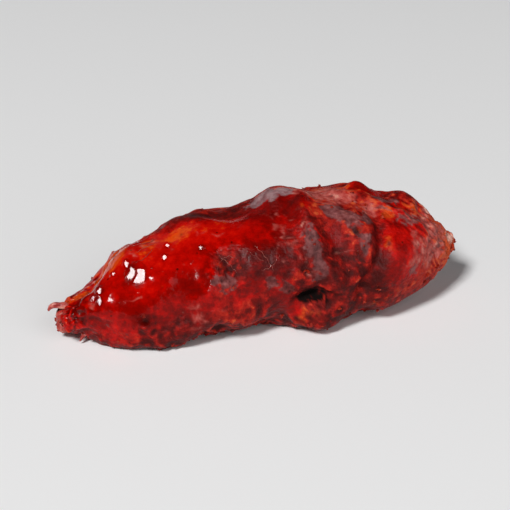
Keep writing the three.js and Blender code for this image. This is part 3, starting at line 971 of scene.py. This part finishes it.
strands = strand_middles + (strands - strand_middles) * (1 + SHAG * shaggy[..., None])
strands[..., 2] = np.maximum(strands[..., 2], CLEARANCE_MM)
fibres = ringed_mesh("torn_strands", strands, dict(shaggy=shaggy))


# %% Places on the finished surface
def on_skin(shares, degrees):
    """The finished surface and its outward direction at places given by their share of the length
    and degrees round: the four grid points about each place, weighted by nearness."""
    rows = np.interp(shares, spread, np.arange(RINGS))
    start = spread_round[0]
    turns = (np.radians(degrees) - start) % (2 * np.pi) + start
    columns = np.interp(turns, np.append(spread_round, start + 2 * np.pi), np.arange(SIDES + 1))
    row, column = np.minimum(rows.astype(int), RINGS - 2), columns.astype(int)
    down, across = (rows - row)[..., None], (columns - column)[..., None]
    left, right = column % SIDES, (column + 1) % SIDES
    found = []
    for field in (surface, finished_normal):
        upper = field[row, left] * (1 - across) + field[row, right] * across
        lower = field[row + 1, left] * (1 - across) + field[row + 1, right] * across
        found.append(upper * (1 - down) + lower * down)
    return found


# %% Threads of glaze
# Each thread: the places it runs through.
THREADS = [
    ((0.175, 92), (0.215, 88), (0.25, 93)),
    ((0.165, 104), (0.2, 98), (0.235, 104)),
    ((0.182, 62), (0.208, 66), (0.228, 74)),
    ((0.13, 84), (0.15, 98), (0.165, 112)),
    ((0.19, 74), (0.215, 80), (0.24, 84)),
    ((0.42, 46), (0.445, 38), (0.47, 30)),
    ((0.455, 44), (0.475, 34), (0.49, 22)),
    ((0.46, 24), (0.485, 25), (0.51, 33)),
    ((0.36, 30), (0.385, 40), (0.41, 36)),
    ((0.37, 44), (0.39, 34), (0.405, 25)),
]
THREAD_STEPS = 60
THREAD_SIDES = 6
THREAD_MM = 0.06  # its radius at its middle
BOWED_MM = 0.1  # how far its middle stands off the skin
WRIGGLE = (0.0006, 0.5)  # in shares of the length and in degrees
along_thread = np.linspace(0, 1, THREAD_STEPS)[None]
eased = along_thread[..., None]
starts, halfways, ends = (np.array([t[k] for t in THREADS], float)[:, None] for k in range(3))
routes = starts * (1 - eased) * (1 - 2 * eased) + ends * eased * (2 * eased - 1)
routes = routes + 4 * halfways * eased * (1 - eased)
wriggle = np.sin(along_thread * 23 + np.arange(len(THREADS))[:, None] * 2.1)
routes = routes + wriggle[..., None] * WRIGGLE
under, under_normal = on_skin(routes[..., 0], routes[..., 1])
bowed = np.sin(np.pi * along_thread)
thread_lines = under + under_normal * (0.5 * THREAD_MM + BOWED_MM * bowed)[..., None]
thread_radii = THREAD_MM * (0.25 + 0.75 * bowed**0.5) * (1 + 0.3 * np.sin(along_thread * 41))
thread_rings = strand_grids(thread_lines, thread_radii, THREAD_SIDES, under_normal)
threads = ringed_mesh("glaze_threads", thread_rings, {})

# %% [markdown]
# Loose crumbs of batter stick in the glaze, most of them where the crust is craggy and along the
# edges where the glaze ran off. Each crumb is a rough pebble of a few dozen faces, squashed, turned
# at random and half sunk, and all of them are one mesh.

# %% Where crumbs stick
CRUMBS = 220
PIT_SURROUNDINGS = (0.59, -8, 7, 6)  # no loose crumb lies here, where it would hide the pit
rng = np.random.default_rng(21)
ragged_rim = bell(gap_to_route(EDGES["rim of the blunt end"][0], EDGE_STRAYING) / 3.0)
likely = craggy**2 * (1.03 - wet) + 0.5 * ragged_rim + 0.8 * bell(along * LENGTH / 6)
likely = likely * edge_along * edge_round
likely = likely * (surface[..., 2] > 0.4) * (near(*PIT_SURROUNDINGS) < 0.5)
chosen = rng.choice(likely.size, CRUMBS, replace=False, p=(likely / likely.sum()).ravel())
crumb_radii = np.clip(rng.lognormal(-0.95, 0.4, CRUMBS), 0.2, 0.8)[:, None, None]
print(f"{CRUMBS} crumbs, and half of them are under {2 * np.median(crumb_radii):.2f} mm across")

# %% A pebble
CRUMB_RINGS, CRUMB_SIDES = 4, 7
up_it = (np.pi * (np.arange(CRUMB_RINGS) + 0.7) / (CRUMB_RINGS + 0.4))[:, None]
round_it = 2 * np.pi * np.arange(CRUMB_SIDES) / CRUMB_SIDES
ball = (-np.cos(up_it), -np.sin(up_it) * np.cos(round_it), np.sin(up_it) * np.sin(round_it))
ball = np.stack(np.broadcast_arrays(*ball), -1).reshape(-1, 3)
print("a pebble has", len(ball), "points and its two poles")

# %% Crumbs
SUNK = 0.1  # how far a crumb's middle lies under the skin, as a share of its radius
jitter = 1 + 0.35 * rng.standard_normal((CRUMBS, len(ball), 1))
squash = rng.uniform(0.55, 1.1, (CRUMBS, 1, 3))
turned, _ = np.linalg.qr(rng.standard_normal((CRUMBS, 3, 3)))
turned = turned * np.sign(np.linalg.det(turned))[:, None, None]
skin_there, outward_there = (field.reshape(-1, 3)[chosen] for field in (surface, finished_normal))
crumbs_at = skin_there - SUNK * crumb_radii[:, 0] * outward_there
crumb_points = (ball * jitter * squash * crumb_radii) @ turned + crumbs_at[:, None]
crumb_points[..., 2] = np.maximum(crumb_points[..., 2], CLEARANCE_MM)
crumb_grids = crumb_points.reshape(CRUMBS, CRUMB_RINGS, CRUMB_SIDES, 3)
pale = np.broadcast_to(rng.uniform(0, 0.5, (CRUMBS, 1, 1)), crumb_grids.shape[:3])
loose = ringed_mesh("batter_crumbs", crumb_grids, dict(pale=pale))
loose.data.polygons.foreach_set("use_smooth", np.zeros(len(loose.data.polygons), bool))

# %% [markdown]
# ## Materials
#
# Each material starts from what the real surface is. Glaze is a clear red syrup: its colour comes from its
# depth over the golden batter, so a ramp from depth to colour stands for it, and painted shade is laid in
# as extra depth. Over it, blends show whatever else lies on top or shines through: batter that took no
# glaze, meat, fat and char, and a painted sheen of mauve and grey that stands in for dim light mirrored in
# the glaze. A runny place is as smooth as a mirror and a soaked one is bare crust, so the roughness follows
# how wet each point is.


# %% Helpers for materials
def linear(hex_colour):
    """An sRGB hex colour as linear red, green, blue and alpha."""
    channels = [int(hex_colour[i : i + 2], 16) / 255 for i in (1, 3, 5)]
    return [c / 12.92 if c <= 0.04045 else ((c + 0.055) / 1.055) ** 2.4 for c in channels] + [1.0]


def per_mm(size):
    """A noise texture's scale for swellings of a size in mm, on coordinates in metres."""
    return 1 / (size * MM)


def new_material(name, piece):
    """A material with a Principled shader on its output, on a piece. Returns it and the shader."""
    material = bpy.data.materials.new(name)
    material.use_nodes = True
    piece.data.materials.append(material)
    print(piece.name, "is made of", name)
    return material, material.node_tree.nodes["Principled BSDF"]


def feed(node, inputs):
    """Sets a node's inputs, each found by its name or number, or links it where the value is another
    node's output."""
    for key, value in inputs.items():
        if isinstance(value, bpy.types.NodeSocket):
            node.id_data.links.new(value, node.inputs[key])
        else:
            node.inputs[key].default_value = value


def add_node(material, kind, *values, out=0, stops=(), named=(), **settings):
    """Adds a node and returns one of its outputs. The settings are its properties, and the stops are a
    colour ramp's places and hex colours. The values go to the inputs that are in use, from the top,
    and the named ones to the inputs of those names."""
    node = material.node_tree.nodes.new("ShaderNode" + kind)
    for key, value in settings.items():
        setattr(node, key, value)
    for k, (at, colour) in enumerate(stops):
        elements = node.color_ramp.elements
        element = elements[k] if k < 2 else elements.new(at)  # a new ramp already has two
        element.position = at
        element.color = linear(colour)
    in_use = (k for k, socket in enumerate(node.inputs) if socket.enabled)
    feed(node, {**dict(zip(in_use, values)), **dict(named)})
    return node.outputs[out]


# %% The skin's own numbers, and a mottle
# The mottle is fat and pepper in the glaze. It makes the glaze look deeper here and shallower
# there, in swellings that are finer than the points, and less so where the glaze is wet and clear.
MOTTLE_MM = 1.7
MOTTLE_DEPTH = 0.42
WET_MOTTLE = 0.6
glazed, skin_shader = new_material("chilli_glaze_on_fried_batter", tender)
skin_place = add_node(glazed, "TexCoord", out="Object")
look = {key: add_node(glazed, "Attribute", out="Fac", attribute_name=key) for key in skin_looks}
mottle = add_node(glazed, "TexNoise", skin_place, per_mm(MOTTLE_MM), 6.0, 0.66)
mottle = add_node(glazed, "MapRange", mottle, 0.3, 0.7, -MOTTLE_DEPTH, MOTTLE_DEPTH)
clearer = add_node(glazed, "MapRange", look["wet"], 0, 1, 1, WET_MOTTLE)
mottle = add_node(glazed, "Math", mottle, clearer, operation="MULTIPLY")
seen = add_node(glazed, "Math", look["seen_mm"], mottle, operation="ADD")

# %% Colours of the glaze
# Each colour stands at the depth in mm that it is seen at. Glaze that soaked into the batter is
# duller and browner than glaze that lies on it.
GLAZE_COLOURS = [
    (0.0, "#D4420E"),
    (0.12, "#C62A08"),
    (0.3, "#BE0C03"),
    (0.6, "#A80400"),
    (1.0, "#7E0300"),
    (1.6, "#540402"),
    (2.4, "#300402"),
]
SOAKED_COLOURS = [
    (0.0, "#C05030"),
    (0.3, "#A82E1A"),
    (0.6, "#901A10"),
    (1.0, "#620C07"),
    (1.6, "#3C0604"),
]
DEEPEST = 2.4


def spread_over(top, colours):
    """A colour ramp's stops, from colours that stand at places between 0 and a top value."""
    return [(at / top, hex_colour) for at, hex_colour in colours]


seen = add_node(glazed, "Math", seen, DEEPEST, operation="DIVIDE")
red = add_node(glazed, "ValToRGB", seen, stops=spread_over(DEEPEST, GLAZE_COLOURS))
soaked_red = add_node(glazed, "ValToRGB", seen, stops=spread_over(DEEPEST, SOAKED_COLOURS))

# %% Batter and meat
BATTER_COLOURS = [(0.3, "#701606"), (0.45, "#A43008"), (0.6, "#CC4A14"), (0.75, "#DE7230")]
MEAT_COLOURS = [(0.3, "#8A2420"), (0.45, "#A8443C"), (0.6, "#BC6058"), (0.75, "#D0907E")]
BATTER_GRAIN_MM = 1.8
BATTER_PATCH_MM = 2.4
MEAT_GRAIN_MM = 1.8
batter = add_node(glazed, "TexNoise", skin_place, per_mm(BATTER_GRAIN_MM), 3.0)
batter = add_node(glazed, "ValToRGB", batter, stops=BATTER_COLOURS)
bare_share = add_node(glazed, "TexNoise", skin_place, per_mm(BATTER_PATCH_MM), 3.0)
bare_share = add_node(glazed, "MapRange", bare_share, 0.3, 0.6, 0, 1)
bare_share = add_node(glazed, "Math", look["bare"], bare_share, operation="MULTIPLY")
meat_colour = add_node(glazed, "TexNoise", skin_place, per_mm(MEAT_GRAIN_MM), 4.0)
meat_colour = add_node(glazed, "ValToRGB", meat_colour, stops=MEAT_COLOURS)

# %% Painted sheen colours
# Painted sheen: mauve, and grey on the crest, that stands in for the dim panels and the lamp behind
# mirrored in the glaze.
SHEEN_COLOURS = [(0.3, "#3E1210"), (0.42, "#5A2220"), (0.56, "#6E3230"), (0.72, "#945450")]
GREY_SHEEN_COLOURS = [(0.35, "#7C585A"), (0.5, "#8C7072"), (0.65, "#988082")]
SHEEN_MM = 1.6
sheen_noise = add_node(glazed, "TexNoise", skin_place, per_mm(SHEEN_MM), 4.0)
sheen_noise = add_node(glazed, "Math", sheen_noise, look["sheen_tone"], operation="ADD")
mauve = add_node(glazed, "ValToRGB", sheen_noise, stops=SHEEN_COLOURS)
grey_sheen = add_node(glazed, "ValToRGB", sheen_noise, stops=GREY_SHEEN_COLOURS)
sheen_colour = add_node(glazed, "Mix", look["grey"], mauve, grey_sheen, out=2, data_type="RGBA")

# %% Specks
# Specks of chilli and burnt crumb, one to a cell of a Voronoi texture, in some places only.
SPECK_MM = 2.6
SPECK_RADII = (0.09, 0.15)  # where a speck starts to fade and where it ends, in cells
SPECK_SHARE = 0.85
SPECKLED_MM = 5.0
speck = add_node(glazed, "TexVoronoi", skin_place, per_mm(SPECK_MM))
speck = add_node(glazed, "MapRange", speck, *SPECK_RADII, SPECK_SHARE, 0)
speckled = add_node(glazed, "TexNoise", skin_place, per_mm(SPECKLED_MM))
speckled = add_node(glazed, "MapRange", speckled, 0.5, 0.62, 0, 1)
speck = add_node(glazed, "Math", speck, speckled, operation="MULTIPLY")

# %% What lies over what
# Each layer, from the lowest up: how much of it there is, and its colour.
LAYERS = [
    (look["soaked"], soaked_red),
    (bare_share, batter),
    (look["flesh"], meat_colour),
    (look["cream"], linear("#E0A898")),
    # Painted sheen: mauve and grey patches that stand in for dim light mirrored in the glaze.
    (look["painted_sheen"], sheen_colour),
    (speck, linear("#2A0502")),
    (look["char"], linear("#0C0403")),
]
skin_colour = red
for amount, layer in LAYERS:
    skin_colour = add_node(glazed, "Mix", amount, skin_colour, layer, out=2, data_type="RGBA")

# %% Gloss and grain
# A specular level of 0.5 is that of clear syrup. Here it is turned down, because under lamps as broad
# as these a full mirror lays a grey haze over the crust. The crust's grain shows where it is dry, and
# the glaze fills it where it is wet.
DRY, TACKY, RUNNY = 0.62, 0.36, 0.09  # roughnesses
TACKY_AT = 0.6
CHARRED = 0.45  # how much rougher char is
SKIN_GRAIN_MM = 0.9
SKIN_GRAIN_RISE_MM = 0.45
WET_GRAIN = 0.05
GLOSS = 0.14
roughness = add_node(glazed, "MapRange", look["wet"], 0, TACKY_AT, DRY, TACKY)
runny_skin = add_node(glazed, "MapRange", look["wet"], TACKY_AT, 1, 0, TACKY - RUNNY)
roughness = add_node(glazed, "Math", roughness, runny_skin, operation="SUBTRACT")
roughness = add_node(glazed, "Math", look["char"], CHARRED, roughness, operation="MULTIPLY_ADD")
skin_grain = add_node(glazed, "TexNoise", skin_place, per_mm(SKIN_GRAIN_MM), 4.0)
dryness = add_node(glazed, "MapRange", look["wet"], 0, 1, 1, WET_GRAIN)
skin_grain = add_node(glazed, "Math", skin_grain, dryness, operation="MULTIPLY")
relief_of_grain = {"Height": skin_grain, "Distance": SKIN_GRAIN_RISE_MM * MM}
skin_bump = add_node(glazed, "Bump", named=relief_of_grain)
feed(skin_shader, {"Base Color": skin_colour, "Roughness": roughness, "Normal": skin_bump})
feed(skin_shader, {"Specular IOR Level": GLOSS})
print("the glaze has", len(glazed.node_tree.nodes), "nodes")

# %% [markdown]
# The strands are cooked meat with a little glaze: pinkish brown, streaked along their length, and
# only half wet. The threads are thin enough to look paler than the glaze that they were drawn from,
# and the crumbs run from nearly burnt to a reddish brown.

# %% Torn meat
FIBRE_STREAK_MM = 1.2
FIBRE_GRAIN_MM = 0.6
FIBRE_GRAIN_RISE_MM = 0.2
meat_fibre, fibre_shader = new_material("torn_cooked_chicken", fibres)
fibre_place = add_node(meat_fibre, "TexCoord", out="Object")
fibre_shag = add_node(meat_fibre, "Attribute", out="Fac", attribute_name="shaggy")
streak = add_node(meat_fibre, "TexNoise", fibre_place, per_mm(FIBRE_STREAK_MM), 4.0)
streak = add_node(meat_fibre, "Math", fibre_shag, 0.6, streak, operation="MULTIPLY_ADD")
fibre_colour = add_node(meat_fibre, "ValToRGB", streak, stops=MEAT_COLOURS)
fibre_grain = add_node(meat_fibre, "TexNoise", fibre_place, per_mm(FIBRE_GRAIN_MM), 2.0)
relief_of_fibre = {"Height": fibre_grain, "Distance": FIBRE_GRAIN_RISE_MM * MM}
fibre_bump = add_node(meat_fibre, "Bump", named=relief_of_fibre)
feed(fibre_shader, {"Base Color": fibre_colour, "Roughness": 0.32, "Normal": fibre_bump})
feed(fibre_shader, {"Specular IOR Level": 0.35})

# %% Threads of glaze
THREAD_COLOURS = [(0.35, "#7C2E2A"), (0.65, "#A4584E")]
thread_glaze, thread_shader = new_material("drawn_out_glaze", threads)
thread_place = add_node(thread_glaze, "TexCoord", out="Object")
thread_noise = add_node(thread_glaze, "TexNoise", thread_place, per_mm(3.0))
thread_colour = add_node(thread_glaze, "ValToRGB", thread_noise, stops=THREAD_COLOURS)
feed(thread_shader, {"Base Color": thread_colour, "Roughness": 0.15})

# %% Loose crumbs
# Each colour stands at how pale the crumb is there: some were fried darker than others.
CRUMB_COLOURS = [(0.2, "#5A1208"), (0.45, "#8A1A0A"), (0.75, "#A02E14"), (1.05, "#AC4A26")]
PALEST = 1.05
CRUMB_GRAIN_MM = 0.5
crumb_batter, crumb_shader = new_material("fried_batter_crumb", loose)
crumb_place = add_node(crumb_batter, "TexCoord", out="Object")
crumb_pale = add_node(crumb_batter, "Attribute", out="Fac", attribute_name="pale")
paleness = add_node(crumb_batter, "TexNoise", crumb_place, per_mm(CRUMB_GRAIN_MM), 2.0)
paleness = add_node(crumb_batter, "Math", paleness, 0.4, crumb_pale, operation="MULTIPLY_ADD")
paleness = add_node(crumb_batter, "Math", paleness, PALEST, operation="DIVIDE")
crumb_colour = add_node(
    crumb_batter, "ValToRGB", paleness, stops=spread_over(PALEST, CRUMB_COLOURS)
)
feed(crumb_shader, {"Base Color": crumb_colour, "Roughness": 0.38, "Specular IOR Level": 0.2})

# %% [markdown]
# ## The floor, and the frame
#
# The floor is a sheet of white paper, wide enough to reach out of every view. Then the pieces are
# tied to the frame's one body, and the finished skin takes the place of the plain solid.

# %% Floor
FLOOR = 3.0  # half its side, in metres
floor_mesh = bpy.data.meshes.new("floor")
corners = [(-FLOOR, -FLOOR, 0), (FLOOR, -FLOOR, 0), (FLOOR, FLOOR, 0), (-FLOOR, FLOOR, 0)]
floor_mesh.from_pydata(corners, [], [(0, 1, 2, 3)])
floor = in_scene("floor", floor_mesh)
_, paper_shader = new_material("white_paper", floor)
feed(paper_shader, {"Base Color": linear("#F0F0F0"), "Roughness": 0.9})
floor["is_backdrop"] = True

# %% Join the pieces to the frame
for piece in (tender, fibres, threads, loose):
    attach(piece, "root")
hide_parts("tender")

# %% Measure and finish
seen_low, seen_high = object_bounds()
outside = [(a - b) / MM for a, b in zip((*seen_high, *cad_low), (*cad_high, *seen_low))]
print("outside the box, in mm:", np.round(outside, 2))
